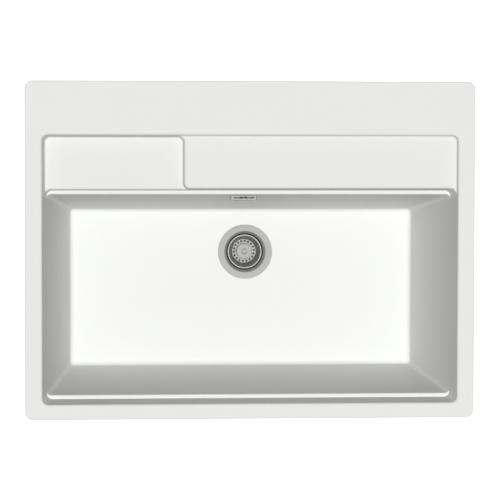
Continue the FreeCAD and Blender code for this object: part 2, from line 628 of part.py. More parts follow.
def clamping_screw():
    head = cylinder(CLAMPING_HEAD_R, CUP_BOTTOM, CUP_BOTTOM + CLAMPING_HEAD, DRAIN)
    head = round_edges(head, CLAMPING_HEAD / 4,
                       lambda x0, x1, y0, y1, z0, z1: z0 > CUP_BOTTOM + CLAMPING_HEAD - ON_PLANE)
    shank = cylinder(CLAMPING_SCREW_R, CUP_BOTTOM - CLAMPING_SCREW_LENGTH, CUP_BOTTOM, DRAIN)
    reach = CLAMPING_HEX / 2 / math.cos(math.radians(30))
    corners = [Vector(reach * math.cos(math.radians(60 * i)), reach * math.sin(math.radians(60 * i)),
                      CUP_BOTTOM + CLAMPING_HEAD / 3) for i in range(7)]
    socket = Part.Face(Part.makePolygon(corners)).extrude(Vector(0, 0, CLAMPING_HEAD))
    socket.translate(DRAIN)
    return head.fuse(shank).cut(socket)


save(strainer_cup(), "strainer_cup")
save(tube(FLANGE_R - GASKET_MARGIN, mouth_r(FLANGE_TOP - CUP_SHEET) + MOUTH_CLEAR,
          RECESS_Z, FLANGE_TOP - CUP_SHEET), "flange_gasket")
save(tube(BODY_GASKET_R, BODY_BORE_R, BODY_TOP, UNDER_Z), "waste_body_gasket")
save(waste_body(), "waste_body")
save(waste_bridge(), "waste_bridge")
save(waste_tail(), "waste_tail")
save(clamping_screw(), "waste_clamping_screw")
save(tube(CLAMPING_SCREW_R + HUB_INSERT_WALL, CLAMPING_SCREW_R,
          BODY_LOW - HUB_INSERT_LENGTH / 2, BODY_LOW + HUB_INSERT_LENGTH / 2), "waste_threaded_insert")


# ------------------------------------------------------------------ lift-out basket, its knob and stopper
def basket():
    hub_r = STEM_R + STEM_FIT
    inner = BASKET_SHEET
    shell = revolved([(hub_r, BASKET_BASE), (BASKET_BASE_R, BASKET_BASE, BASKET_CORNER_R),
                      (BASKET_TOP_R, BASKET_LIP - BASKET_LIP_THICK),
                      (BASKET_LIP_R, BASKET_LIP - BASKET_LIP_THICK, BASKET_LIP_THICK / 3),
                      (BASKET_LIP_R, BASKET_LIP, BASKET_LIP_THICK / 3),
                      (BASKET_TOP_R - inner, BASKET_LIP, BASKET_LIP_THICK / 2),
                      (BASKET_BASE_R - inner, BASKET_BASE + inner, BASKET_CORNER_R - inner),
                      (hub_r, BASKET_BASE + inner)], DRAIN)
    hole = cylinder(BASKET_HOLE_R, BASKET_BASE - PAST, BASKET_BASE + BASKET_SHEET + PAST,
                    DRAIN + Vector(BASKET_HOLE_PITCH_R, 0, 0))
    return shell.cut(ring_of(hole, BASKET_HOLES, DRAIN, 90 / BASKET_HOLES))


HUB_TOP = BASKET_BASE + BASKET_SHEET + HUB_WASHER_THICK
KNOB_LOW = HUB_TOP + KNOB_RISE
KNOB_TOP = KNOB_LOW + KNOB_THICK
STOPPER_LOW = CUP_BOTTOM + STOPPER_GAP
SKIRT_BORE_R = CLAMPING_HEAD_R + SKIRT_FIT
SKIRT_R = SKIRT_BORE_R + SKIRT_WALL
SKIRT_BORE_TOP = CUP_BOTTOM + CLAMPING_HEAD + STOPPER_GAP


def knob():
    """Turned knob with a dished top and a threaded bore that takes the stem."""
    return revolved([(0, KNOB_TOP - KNOB_DIMPLE_DEPTH), (KNOB_DIMPLE_R / 2, KNOB_TOP - KNOB_DIMPLE_DEPTH),
                     (KNOB_DIMPLE_R, KNOB_TOP, KNOB_DIMPLE_DEPTH / 2), (KNOB_R, KNOB_TOP, KNOB_EDGE_R),
                     (KNOB_R, KNOB_LOW, KNOB_EDGE_R), (0, KNOB_LOW)], DRAIN)


def stem():
    shoulder = HUB_TOP + STEM_PLAY
    skirt_top = SKIRT_BORE_TOP + SKIRT_WALL
    return revolved([(0, SKIRT_BORE_TOP), (SKIRT_BORE_R, SKIRT_BORE_TOP), (SKIRT_BORE_R, STOPPER_LOW),
                     (SKIRT_R, STOPPER_LOW), (SKIRT_R, skirt_top, SKIRT_WALL / 2), (STEM_R, skirt_top),
                     (STEM_R, shoulder), (SHOULDER_R, shoulder), (SHOULDER_R, KNOB_LOW), (0, KNOB_LOW)],
                    DRAIN)


save(basket(), "basket")
save(tube(HUB_WASHER_R, STEM_R + STEM_FIT, BASKET_BASE + BASKET_SHEET, HUB_TOP), "basket_hub_washer")
save(knob(), "basket_knob")
save(stem(), "basket_stem")
save(tube(CLIP_R, STEM_R, BASKET_BASE - STEM_PLAY - CLIP_THICK, BASKET_BASE - STEM_PLAY), "basket_clip")
save(revolved([(SKIRT_R, STOPPER_LOW), (STOPPER_R, STOPPER_LOW),
               (STOPPER_R, STOPPER_LOW + STOPPER_THICK, STOPPER_THICK / 3),
               (SKIRT_R, STOPPER_LOW + STOPPER_THICK)], DRAIN), "basket_stopper")


# ------------------------------------------------------------------ overflow
def cover_front():
    return overflow_wall(OVERFLOW_Z + COVER_HEIGHT / 2) - COVER_PROUD


def behind_wall(offset):
    """All that lies behind the bowl's back wall, or behind a plane at an offset in front of it."""
    high = OVERFLOW_Z + COVER_HEIGHT
    low = OVERFLOW_Z - COVER_HEIGHT
    return tapered((-OPEN_X, OPEN_X, overflow_wall(high) - offset, HALF_Y),
                   (-OPEN_X, OPEN_X, overflow_wall(low) - offset, HALF_Y), high, low)


def cover_screw_shape(extra):
    """Countersunk head and shank, flush with the cover's front, larger all round by an extra."""
    middle = Vector(OVERFLOW_X, cover_front(), OVERFLOW_Z)
    forward = Vector(0, 1, 0)
    tip = pad_face() + REAR_GASKET + COVER_INSERT_LENGTH
    head = Part.makeCone(COVER_SCREW_HEAD_R + extra, COVER_SCREW_R + extra, COVER_SCREW_HEAD, middle, forward)
    return head.fuse(Part.makeCylinder(COVER_SCREW_R + extra, tip - middle.y, middle, forward))


def overflow_cover():
    """Pressed steel cap, trimmed to the slope of the bowl wall, with a slot along its top."""
    front = cover_front()
    back = overflow_wall(OVERFLOW_Z) + COVER_HEIGHT
    cap = block_at_overflow(COVER_LENGTH, COVER_HEIGHT, front, back)
    cap = round_edges(cap, COVER_CORNER_R, lambda x0, x1, y0, y1, z0, z1: y1 - y0 > UPRIGHT)
    cap = round_edges(cap, COVER_EDGE_R, lambda x0, x1, y0, y1, z0, z1: y1 < front + ON_PLANE)
    inside = block_at_overflow(COVER_LENGTH - 2 * COVER_SHEET, COVER_HEIGHT - 2 * COVER_SHEET,
                               front + COVER_SHEET, back)
    inside = round_edges(inside, COVER_CORNER_R - COVER_SHEET,
                         lambda x0, x1, y0, y1, z0, z1: y1 - y0 > UPRIGHT)
    half_slot = COVER_SLOT_LENGTH / 2
    slot_y = front + COVER_SHEET + COVER_EDGE_R
    slot = box(OVERFLOW_X - half_slot, OVERFLOW_X + half_slot, slot_y, slot_y + COVER_SLOT_WIDTH,
               OVERFLOW_Z, OVERFLOW_Z + COVER_HEIGHT)
    return cap.cut([inside, slot, cover_screw_shape(COVER_SCREW_FIT), behind_wall(0)])


def overflow_liner():
    """Plastic plate inside the cover, against the bowl wall, with a lip along its foot."""
    inset = COVER_SHEET + LINER_FIT
    front = cover_front() + inset
    back = overflow_wall(OVERFLOW_Z) + COVER_HEIGHT
    block = block_at_overflow(COVER_LENGTH - 2 * inset, COVER_HEIGHT - 2 * inset, front, back)
    block = round_edges(block, COVER_CORNER_R - inset, lambda x0, x1, y0, y1, z0, z1: y1 - y0 > UPRIGHT)
    room = block_at_overflow(COVER_LENGTH, COVER_HEIGHT - 2 * inset, front - PAST, back)
    room.translate(Vector(0, 0, LINER_SHEET))
    return block.cut([behind_wall(0), room.cut(behind_wall(LINER_SHEET)), overflow_ports()])


def overflow_elbow():
    """Moulded housing behind the wall, with a socket below for the down pipe and a boss for the screw."""
    y0 = pad_face() + REAR_GASKET
    y1 = y0 + ELBOW_DEPTH
    housing = block_at_overflow(ELBOW_LENGTH, ELBOW_HEIGHT, y0, y1)
    housing = round_edges(housing, ELBOW_EDGE_R, lambda ex0, ex1, ey0, ey1, ez0, ez1: ey0 > y0 + ON_PLANE)
    axis = down_pipe_axis()
    low = OVERFLOW_Z - ELBOW_HEIGHT / 2
    spout = cylinder(SOCKET_R, low - SOCKET_LENGTH, OVERFLOW_Z, axis)
    hollow = block_at_overflow(ELBOW_LENGTH - 2 * ELBOW_WALL, ELBOW_HEIGHT - 2 * ELBOW_WALL,
                               y0, y1 - ELBOW_WALL)
    boss_r = COVER_SCREW_R + ELBOW_BOSS_WALL
    boss = Part.makeCylinder(boss_r, ELBOW_DEPTH - ELBOW_WALL / 2, Vector(OVERFLOW_X, y0, OVERFLOW_Z),
                             Vector(0, 1, 0))
    screw = Part.makeCylinder(COVER_SCREW_R, COVER_INSERT_LENGTH, Vector(OVERFLOW_X, y0, OVERFLOW_Z),
                              Vector(0, 1, 0))
    bore = cylinder(PIPE_BORE_R, low - SOCKET_LENGTH, OVERFLOW_Z - ELBOW_WALL, axis)
    socket = cylinder(SOCKET_BORE_R, low - SOCKET_LENGTH, low - SOCKET_LENGTH + PIPE_INSERT, axis)
    return housing.fuse(spout).cut(hollow).fuse(boss).cut([screw, bore.cut(boss), socket]).removeSplitter()


def overflow_screw():
    """Countersunk screw with a cross recess, from the cover through the wall into the elbow's boss."""
    recess = []
    for angle in (45, 135):
        bar = box(-COVER_SCREW_HEAD_R / 2, COVER_SCREW_HEAD_R / 2, -PAST, COVER_SCREW_HEAD * 2 / 3,
                  -COVER_SCREW_SLOT / 2, COVER_SCREW_SLOT / 2)
        bar.rotate(Vector(0, 0, 0), Vector(0, 1, 0), angle)
        bar.translate(Vector(OVERFLOW_X, cover_front(), OVERFLOW_Z))
        recess.append(bar)
    return cover_screw_shape(0).cut(recess)


def rear_gasket():
    sheet = block_at_overflow(ELBOW_LENGTH, ELBOW_HEIGHT, pad_face(), pad_face() + REAR_GASKET)
    sheet = round_edges(sheet, ELBOW_EDGE_R, lambda x0, x1, y0, y1, z0, z1: y1 - y0 > UPRIGHT)
    return sheet.cut(overflow_ports())


def down_pipe():
    socket_end = OVERFLOW_Z - ELBOW_HEIGHT / 2 - SOCKET_LENGTH
    return tube(PIPE_R, PIPE_BORE_R, bend_top() - PIPE_INSERT, socket_end + PIPE_INSERT, down_pipe_axis())


def bend_top():
    return INLET_Z + BEND_R + SOCKET_LENGTH


def pipe_run():
    """Distance between the drain axis and the down pipe's axis."""
    return (down_pipe_axis() - DRAIN).Length


def swept_tube(radius):
    """Quarter bend along +X below the down pipe, drawn with the drain axis at X = 0."""
    run = pipe_run()
    centre = Vector(run - BEND_R, 0, INLET_Z + BEND_R)
    circle = Part.Face(Part.Wire(Part.makeCircle(radius, Vector(run, 0, centre.z), Vector(0, 0, 1))))
    return circle.revolve(centre, Vector(0, 1, 0), 90)


def overflow_bend():
    run = pipe_run()
    axis = Vector(run, 0, 0)
    side_end = run - BEND_R - SOCKET_LENGTH
    outer = swept_tube(SOCKET_R).fuse([cylinder(SOCKET_R, INLET_Z + BEND_R, bend_top(), axis),
                                       along_x(SOCKET_R, side_end, run - BEND_R, INLET_Z)])
    inner = swept_tube(PIPE_BORE_R).fuse([cylinder(PIPE_BORE_R, INLET_Z + BEND_R, bend_top(), axis),
                                          along_x(PIPE_BORE_R, side_end, run - BEND_R, INLET_Z)])
    sockets = [cylinder(SOCKET_BORE_R, bend_top() - PIPE_INSERT, bend_top(), axis),
               along_x(SOCKET_BORE_R, side_end, side_end + PIPE_INSERT, INLET_Z)]
    return towards_overflow(outer.cut([inner] + sockets).removeSplitter())


def cross_pipe():
    start = BODY_R + INLET_LENGTH - PIPE_INSERT
    end = pipe_run() - BEND_R - SOCKET_LENGTH + PIPE_INSERT
    pipe = along_x(PIPE_R, start, end, INLET_Z).cut(along_x(PIPE_BORE_R, start, end, INLET_Z))
    return towards_overflow(pipe)


def nut_and_ring(socket_end):
    """Ribbed coupling nut and its rubber ring, on a socket that ends at a height and opens downwards."""
    low = socket_end - SEAL_RING - NUT_END
    high = socket_end + NUT_OVERLAP
    hole_r = PIPE_R + 2 * PIPE_FIT
    nut = revolved([(hole_r, low), (NUT_R, low, NUT_EDGE_R), (NUT_R, high, NUT_EDGE_R), (SOCKET_R, high),
                    (SOCKET_R, socket_end - SEAL_RING), (hole_r, socket_end - SEAL_RING)])
    rib = cylinder(NUT_RIB_R, low + NUT_EDGE_R, high - NUT_EDGE_R, Vector(NUT_R, 0, 0))
    nut = nut.fuse(ring_of(rib, NUT_RIBS, Vector(0, 0, 0)))
    ring = tube(SOCKET_R, PIPE_R, socket_end - SEAL_RING, socket_end, Vector(0, 0, 0))
    return nut, ring


def pipe_joints():
    """Each coupling by name: its turn about Y and where its socket's end lies on the pipe run."""
    run = pipe_run()
    elbow_end = OVERFLOW_Z - ELBOW_HEIGHT / 2 - SOCKET_LENGTH
    inlet_end = BODY_R + INLET_LENGTH
    return {"elbow": (0, Vector(run, 0, elbow_end)), "bend_top": (180, Vector(run, 0, bend_top())),
            "bend_side": (90, Vector(run - BEND_R - SOCKET_LENGTH, 0, INLET_Z)),
            "inlet": (-90, Vector(inlet_end, 0, INLET_Z))}


save(overflow_cover(), "overflow_cover")
save(overflow_liner(), "overflow_liner")
save(overflow_screw(), "overflow_cover_screw")
save(rear_gasket(), "overflow_gasket")
save(overflow_elbow(), "overflow_elbow")
save(down_pipe(), "overflow_down_pipe")
save(overflow_bend(), "overflow_bend")
save(cross_pipe(), "overflow_cross_pipe")
rings = []
for name, (turn, end) in pipe_joints().items():
    nut, ring = nut_and_ring(0)
    for shape in (nut, ring):
        shape.rotate(Vector(0, 0, 0), Vector(0, 1, 0), turn)
        shape.translate(end)
        towards_overflow(shape)
    save(nut, "overflow_nut_" + name)
    rings.append(ring)
save(Part.makeCompound(rings), "overflow_seal_rings")


# ------------------------------------------------------------------ worktop clamps
ARM_TOP = -WORKTOP_MAX - ARM_RISE
ARM_LOW = ARM_TOP - ARM_SHEET
WASHER_TOP = ARM_LOW - ARM_PLAY
HEAD_TOP = WASHER_TOP - WASHER_THICK


def clamp_arm():
    """Steel arm with a bent-up tooth, stowed along the wall; made facing +Y and lying along +X."""
    half = ARM_WIDTH / 2
    plate = box(0, ARM_REACH, -half, half, ARM_LOW, ARM_TOP).fuse(cylinder(half, ARM_LOW, ARM_TOP))
    tooth = box(ARM_REACH - ARM_SHEET, ARM_REACH, half - TOOTH_WIDTH, half, ARM_LOW, ARM_TOP + ARM_RISE)
    arm = plate.fuse(tooth).removeSplitter()
    arm = round_edges(arm, ARM_BEND_R, lambda x0, x1, y0, y1, z0, z1: x0 > ARM_REACH - ON_PLANE
                      and z1 < ARM_LOW + ON_PLANE)
    return arm.cut(cylinder(CLAMP_SCREW_R + ARM_FIT, ARM_LOW - PAST, ARM_TOP + PAST))


def clamp_screw():
    """Slotted screw that hangs from its insert and carries the washer and the arm."""
    tip = -LUG_DROP + CLAMP_ENGAGED
    shank = cylinder(CLAMP_SCREW_R, HEAD_TOP, tip)
    head = cylinder(CLAMP_HEAD_R, HEAD_TOP - CLAMP_HEAD, HEAD_TOP)
    head = round_edges(head, CLAMP_HEAD / 4,
                       lambda x0, x1, y0, y1, z0, z1: z1 < HEAD_TOP - CLAMP_HEAD + ON_PLANE)
    slot = box(-CLAMP_HEAD_R, CLAMP_HEAD_R, -CLAMP_SLOT / 2, CLAMP_SLOT / 2,
               HEAD_TOP - CLAMP_HEAD - PAST, HEAD_TOP - CLAMP_HEAD / 2)
    return shank.fuse(head).cut(slot)


inserts = []
for name, place in clamp_places().items():
    insert = tube(CLAMP_SCREW_R + THREAD_FIT + INSERT_WALL, CLAMP_SCREW_R + THREAD_FIT,
                  -LUG_DROP, -LUG_DROP + INSERT_LENGTH, Vector(0, 0, 0))
    washer = tube(WASHER_R, CLAMP_SCREW_R + THREAD_FIT, HEAD_TOP, WASHER_TOP, Vector(0, 0, 0))
    inserts.append(at_clamp(insert, place))
    save(at_clamp(clamp_screw(), place), "clamp_screw_" + name)
    save(at_clamp(washer, place), "clamp_washer_" + name)
    save(at_clamp(clamp_arm(), place), "clamp_arm_" + name)
save(Part.makeCompound(inserts), "clamp_inserts")
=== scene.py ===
import math

import bmesh
import bpy
from bpy.props import FloatProperty, FloatVectorProperty, IntProperty, PointerProperty
from mathutils import Matrix, Vector


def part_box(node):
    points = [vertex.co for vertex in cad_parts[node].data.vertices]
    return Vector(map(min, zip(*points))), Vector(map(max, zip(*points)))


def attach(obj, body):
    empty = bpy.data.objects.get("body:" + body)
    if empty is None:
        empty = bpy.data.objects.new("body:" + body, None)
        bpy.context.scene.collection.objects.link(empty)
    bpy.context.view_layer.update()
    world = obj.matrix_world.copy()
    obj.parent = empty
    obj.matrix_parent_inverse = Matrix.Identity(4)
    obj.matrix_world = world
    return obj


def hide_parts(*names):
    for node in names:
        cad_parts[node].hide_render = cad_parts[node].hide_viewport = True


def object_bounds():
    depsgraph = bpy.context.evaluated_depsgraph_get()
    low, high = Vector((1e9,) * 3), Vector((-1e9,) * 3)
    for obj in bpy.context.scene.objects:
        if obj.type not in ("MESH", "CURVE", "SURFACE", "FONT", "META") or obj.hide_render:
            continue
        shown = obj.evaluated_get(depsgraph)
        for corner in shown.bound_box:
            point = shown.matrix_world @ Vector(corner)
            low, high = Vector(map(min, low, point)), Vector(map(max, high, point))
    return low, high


bl_info = {
    "name": "Inset kitchen sink",
    "version": (1, 0, 0),
    "blender": (4, 5, 0),
    "location": "View3D > Sidebar > Sink",
    "description": "Finishes, small pieces and stage for an inset composite sink "
                   "with a basket strainer",
    "category": "Object",
}

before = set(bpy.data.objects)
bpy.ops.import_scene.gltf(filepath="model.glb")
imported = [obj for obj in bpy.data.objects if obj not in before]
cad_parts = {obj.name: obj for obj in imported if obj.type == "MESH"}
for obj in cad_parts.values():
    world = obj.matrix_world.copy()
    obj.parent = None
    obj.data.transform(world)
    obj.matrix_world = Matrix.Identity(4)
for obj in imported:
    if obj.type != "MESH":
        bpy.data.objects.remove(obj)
CAD_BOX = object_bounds()
MM = 0.001
LOWEST = CAD_BOX[0][2]
CLAMP_PLACES = ("back_left", "back_right", "front_left", "front_right",
                "side_left", "side_right")
NUT_PLACES = ("elbow", "bend_top", "bend_side", "inlet")

# sizes of the solids that their boxes don't give
CLAMPING_HEAD = 4.2 * MM            # head of the strainer's screw, above the cup's bottom
CLAMP_SCREW_R = 2.5 * MM
CLAMP_HEAD = 3.6 * MM               # head of a clamp screw, at its lower end
SEAL_WIDTH = 5.0 * MM
SEAL_CORNER_R = 6.5 * MM            # middle line of the rim seal

# details of the pieces made here
PAINTED_SHADE_GAP = 2 * MM                  # painted shade: from this far under the top of the basket's base downwards, the cup's steel is painted nearly black
STRIP_WIDTH = 4.6 * MM              # beaded strip, a little narrower than its groove
BEAD_PLACES = (-0.32, 0.0, 0.32)    # beads across the strip, in strip widths from its middle
HEAD_MARGIN = 0.1 * MM              # corners this little below the head's face are shank as well
SHANK_REACH = 1.1                   # corners within this many radii of the axis are shank
BARE_END = 1.5                      # bare shank at each end of a thread, in thread depths
LIP_STEPS = 24                      # corners round a pressed lip
ROUND_STEPS = 10                    # corners round a lip's or a bead's section
RIDGE_STEPS = 4                     # corners round a thread's section
TURN_STEPS = 20                     # corners in one turn of a thread
CORNER_STEPS = 8                    # points in a corner of the rim seal

# stage
FLOOR_REACH = 30.0                  # metres from the middle
FLOOR_GAP = 0.5 * MM                # floor below the lowest piece
FLOOR_GLOW = 0.35                   # added to the floor where the camera or a mirror sees it
LIGHT_ANGLE = math.radians(3.0)     # width of the overhead light
SENSOR = 36.0                       # width of the camera's sensor in mm
TARGET = Vector((-2.01, 0.78, 9.0)) * MM    # point that the camera looks at, level with the rim


def axis_of(node):
    """Foot of the upright axis through the middle of a CAD node's box."""
    low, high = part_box(node)
    return Vector(((low[0] + high[0]) / 2, (low[1] + high[1]) / 2, 0))


DRAIN = axis_of("basket")
BASKET_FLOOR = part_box("basket_hub_washer")[0][2]
CUP_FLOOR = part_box("waste_clamping_screw")[1][2] - CLAMPING_HEAD


# ------------------------------------------------------------------ what a user would change
class SinkSizes(bpy.types.PropertyGroup):
    """Sizes of the small pieces that are made here."""
    basket_holes: IntProperty(
        name="Basket holes", description="Holes round the basket's base", default=18)
    basket_pitch: FloatProperty(
        name="Hole circle", description="Radius of the circle the holes lie on",
        default=16.3 * MM, unit="LENGTH")
    basket_hole: FloatProperty(
        name="Hole radius", description="Radius of one basket hole",
        default=1.5 * MM, unit="LENGTH")
    cup_holes: IntProperty(
        name="Cup outlets", description="Holes round the cup's bottom", default=8)
    cup_pitch: FloatProperty(
        name="Outlet circle", description="Radius of the circle the outlets lie on",
        default=13.6 * MM, unit="LENGTH")
    cup_hole: FloatProperty(
        name="Outlet radius", description="Radius of one cup outlet",
        default=2.6 * MM, unit="LENGTH")
    pressed_lip: FloatProperty(
        name="Pressed lip", description="Radius of the lip's round section, pressed round a hole",
        default=0.2 * MM, unit="LENGTH")
    screw_pitch: FloatProperty(
        name="Screw pitch", description="Pitch of the clamp screws' thread",
        default=0.8 * MM, unit="LENGTH")
    thread_depth: FloatProperty(
        name="Thread depth", description="Depth of the clamp screws' thread",
        default=0.42 * MM, unit="LENGTH")
    seal_bead: FloatProperty(
        name="Seal bead", description="Radius of the beads on the rim seal",
        default=0.55 * MM, unit="LENGTH")


class SinkColours(bpy.types.PropertyGroup):
    """Colours of the finishes, in linear light."""
    composite: FloatVectorProperty(
        name="Composite", description="Moulded mineral composite",
        subtype="COLOR", default=(0.70, 0.706, 0.688))
    steel: FloatVectorProperty(
        name="Steel", description="Spun stainless steel",
        subtype="COLOR", default=(0.60, 0.60, 0.59))
    basket: FloatVectorProperty(
        name="Basket", description="Pressed and polished steel",
        subtype="COLOR", default=(0.66, 0.66, 0.65))
    cover: FloatVectorProperty(
        name="Cover", description="Brushed steel of the overflow cover",
        subtype="COLOR", default=(0.50, 0.50, 0.495))
    zinc: FloatVectorProperty(
        name="Zinc", description="Zinc plating on the clamps",
        subtype="COLOR", default=(0.55, 0.57, 0.59))
    brass: FloatVectorProperty(
        name="Brass", description="Turned inserts",
        subtype="COLOR", default=(0.72, 0.53, 0.26))
    dark_plastic: FloatVectorProperty(
        name="Dark plastic", description="Waste body and overflow fittings",
        subtype="COLOR", default=(0.035, 0.036, 0.04))
    grey_plastic: FloatVectorProperty(
        name="Grey plastic", description="Liner inside the overflow cover",
        subtype="COLOR", default=(0.13, 0.13, 0.13))
    light_plastic: FloatVectorProperty(
        name="Light plastic", description="Overflow pipes and nuts",
        subtype="COLOR", default=(0.74, 0.74, 0.72))
    rubber: FloatVectorProperty(
        name="Rubber", description="Seals and stopper",
        subtype="COLOR", default=(0.028, 0.028, 0.03))


class SinkStage(bpy.types.PropertyGroup):
    """Camera and lights."""
    lens: FloatProperty(
        name="Lens", description="Focal length in mm, on a 36 mm sensor", default=172.05)
    distance: FloatProperty(
        name="Distance", description="Camera from the rim", default=3.6, unit="LENGTH")
    lean_x: FloatProperty(
        name="Lean to the side", description="Camera's lean towards +X",
        default=-0.0749, unit="ROTATION")
    lean_y: FloatProperty(
        name="Lean to the back", description="Camera's lean towards +Y",
        default=0.0484, unit="ROTATION")
    roll: FloatProperty(
        name="Roll", description="Camera's roll", default=0.0019, unit="ROTATION")
    overhead: FloatProperty(
        name="Overhead light", description="Level of the light from above", default=1.08)
    sky: FloatProperty(
        name="Room light", description="Level of the light from all round", default=0.08)
    light_lean: FloatProperty(
        name="Light's lean", description="Lean of the overhead light towards -X",
        default=math.radians(1.5), unit="ROTATION")


# ------------------------------------------------------------------ shader maths
class Link:
    """An output in a material; each operator adds one Math node."""

    def __init__(self, finish, socket):
        self.finish = finish
        self.socket = socket

    def __add__(self, other):
        return self.finish.maths("ADD", self, other)

    def __sub__(self, other):
        return self.finish.maths("SUBTRACT", self, other)

    def __rsub__(self, other):
        return self.finish.maths("SUBTRACT", other, self)

    def __mul__(self, other):
        return self.finish.maths("MULTIPLY", self, other)

    __radd__ = __add__
    __rmul__ = __mul__


class Finish:
    """A material under construction, or a world where `blocks` is Blender's list of worlds."""

    def __init__(self, name, blocks=None):
        blocks = bpy.data.materials if blocks is None else blocks
        self.block = blocks.new(name)
        self.block.use_nodes = True
        self.tree = self.block.node_tree
        self.tree.nodes.clear()

    def add(self, kind, settings=None, sockets=None, out=0):
        """Adds a node: type, settings, its sockets' values or links, and the output wanted."""
        node = self.tree.nodes.new(kind)
        for name, value in (settings or {}).items():
            if name == "stops":
                elements = node.color_ramp.elements
                for element, (place, level) in zip(elements, value, strict=True):
                    element.position = place
                    element.color = (level, level, level, 1)
            else:
                setattr(node, name, value)
        for name, value in (sockets or {}).items():
            if isinstance(value, Link):
                self.tree.links.new(value.socket, node.inputs[name])
            else:
                node.inputs[name].default_value = value
        return Link(self, node.outputs[out]) if len(node.outputs) else None

    def maths(self, operation, first, second):
        return self.add("ShaderNodeMath", {"operation": operation}, {0: first, 1: second})

    def vector_maths(self, operation, *vectors, out="Vector"):
        sockets = dict(enumerate(vectors))
        return self.add("ShaderNodeVectorMath", {"operation": operation}, sockets, out)

    def place(self):
        """Place on the piece, in metres."""
        return self.add("ShaderNodeTexCoord", out="Object")

    def height(self, vector):
        return self.add("ShaderNodeSeparateXYZ", None, {0: vector}, "Z")

    def noise(self, vector, scale, detail=2.0, roughness=0.5):
        sockets = {"Vector": vector, "Scale": scale, "Detail": detail, "Roughness": roughness}
        return self.add("ShaderNodeTexNoise", None, sockets, "Fac")

    def cells(self, vector, scale):
        sockets = {"Vector": vector, "Scale": scale}
        return self.add("ShaderNodeTexVoronoi", {"feature": "F1"}, sockets, "Distance")

    def round_axis(self, vector, foot):
        """Distance from an upright axis and height, for marks that run round a turned piece."""
        away = self.vector_maths("SUBTRACT", vector, foot)
        flat = self.vector_maths("MULTIPLY", away, (1, 1, 0))
        radius = self.vector_maths("LENGTH", flat, out="Value")
        return self.add("ShaderNodeCombineXYZ", None, {"X": radius, "Y": self.height(away)})

    def ramp(self, factor, *stops):
        """Grey levels between two stops of a place and a level."""
        return self.add("ShaderNodeValToRGB", {"stops": stops}, {"Fac": factor}, "Color")

    def mix(self, factor, first, second):
        """Two colours mixed; 0, 6, 7 and 2 are the colour sockets of a Mix node."""
        return self.add("ShaderNodeMix", {"data_type": "RGBA"}, {0: factor, 6: first, 7: second}, 2)

    def bump(self, height, strength, distance):
        sockets = {"Height": height, "Strength": strength, "Distance": distance}
        return self.add("ShaderNodeBump", None, sockets, "Normal")

    def seen(self):
        """1 for rays from the camera, a mirror or glass, and 0 for light that falls on a piece."""
        camera, glossy, transmission = (
            self.add("ShaderNodeLightPath", out=ray)
            for ray in ("Is Camera Ray", "Is Glossy Ray", "Is Transmission Ray"))
        return self.maths("MAXIMUM", self.maths("MAXIMUM", camera, glossy), transmission)

    def done(self, **sockets):
        """Principled surface from its sockets, with spaces in their names as underscores."""
        values = {name.replace("_", " "): value for name, value in sockets.items()}
        surface = self.add("ShaderNodeBsdfPrincipled", None, values, "BSDF")
        self.add("ShaderNodeOutputMaterial", None, {"Surface": surface})
        return self.block


WHITE = (1.0, 1.0, 1.0, 1.0)
DUST = (0.5, 0.49, 0.47, 1.0)
FLOOR_GREYS = ((0.86, 0.86, 0.86, 1.0), (0.88, 0.88, 0.88, 1.0))


def shade(colour, level):
    """A colour made lighter or darker, with its alpha."""
    return tuple(min(channel * level, 1.0) for channel in colour) + (1.0,)


def composite_finish(colour):
    """Fine mineral grain in a smooth moulded skin, with small darker flecks."""
    finish = Finish("moulded_composite")
    place = finish.place()
    grain = finish.noise(place, 1400.0, detail=3.0, roughness=0.6)
    cloud = finish.noise(place, 9.0, detail=3.0)
    flecks = 1 - finish.ramp(finish.cells(place, 520.0), (0.0, 0.0), (0.16, 1.0))
    tone = grain * 0.55 + cloud * 0.45
    skin = finish.mix(tone, shade(colour, 0.985), shade(colour, 1.012))
    speckled = finish.mix(flecks * 0.16, skin, shade(colour, 0.86))
    relief = finish.bump(grain + finish.noise(place, 320.0) * 1.6, strength=0.18, distance=0.00006)
    return finish.done(Base_Color=speckled, Roughness=cloud * 0.08 + grain * 0.06 + 0.5,
                       Normal=relief, Specular_IOR_Level=0.15)


def spun_finish(name, colour, roughness, painted_shade_below=None):
    """Metal spun or turned about the drain's axis: fine rings, a soft mottle, and painted shade
    that turns it nearly black below a given height.
    """
    finish = Finish(name)
    place = finish.place()
    rings = finish.noise(finish.round_axis(place, DRAIN), 5200.0, roughness=0.7)
    mottle = finish.noise(place, 260.0, detail=3.0, roughness=0.55)
    tone = rings * 0.5 + mottle * 0.5
    tint = finish.mix(tone, shade(colour, 0.86), shade(colour, 1.12))
    # painted shade: below the given height the colour is mixed nine tenths of the way to nearly
    # black, standing for the shade in the cup under the basket
    if painted_shade_below is not None:
        low = finish.maths("LESS_THAN", finish.height(place), painted_shade_below)
        tint = finish.mix(low * 0.9, tint, shade(colour, 0.05))
    relief = finish.bump(rings * 0.1 + mottle, strength=0.22, distance=0.00012)
    return finish.done(Base_Color=tint, Metallic=1.0,
                       Roughness=rings * 0.12 + mottle * 0.1 + roughness, Normal=relief)


def polished_finish(colour):
    """Pressed and polished steel with the low waves that a press leaves in thin sheet."""
    finish = Finish("polished_steel")
    place = finish.place()
    waves = finish.noise(place, 210.0)
    haze = finish.noise(place, 900.0, detail=3.0, roughness=0.6)
    tint = finish.mix(waves, shade(colour, 0.9), shade(colour, 1.25))
    relief = finish.bump(waves + haze * 0.1, strength=0.8, distance=0.0008)
    return finish.done(Base_Color=tint, Metallic=1.0, Roughness=haze * 0.16 + 0.36, Normal=relief)


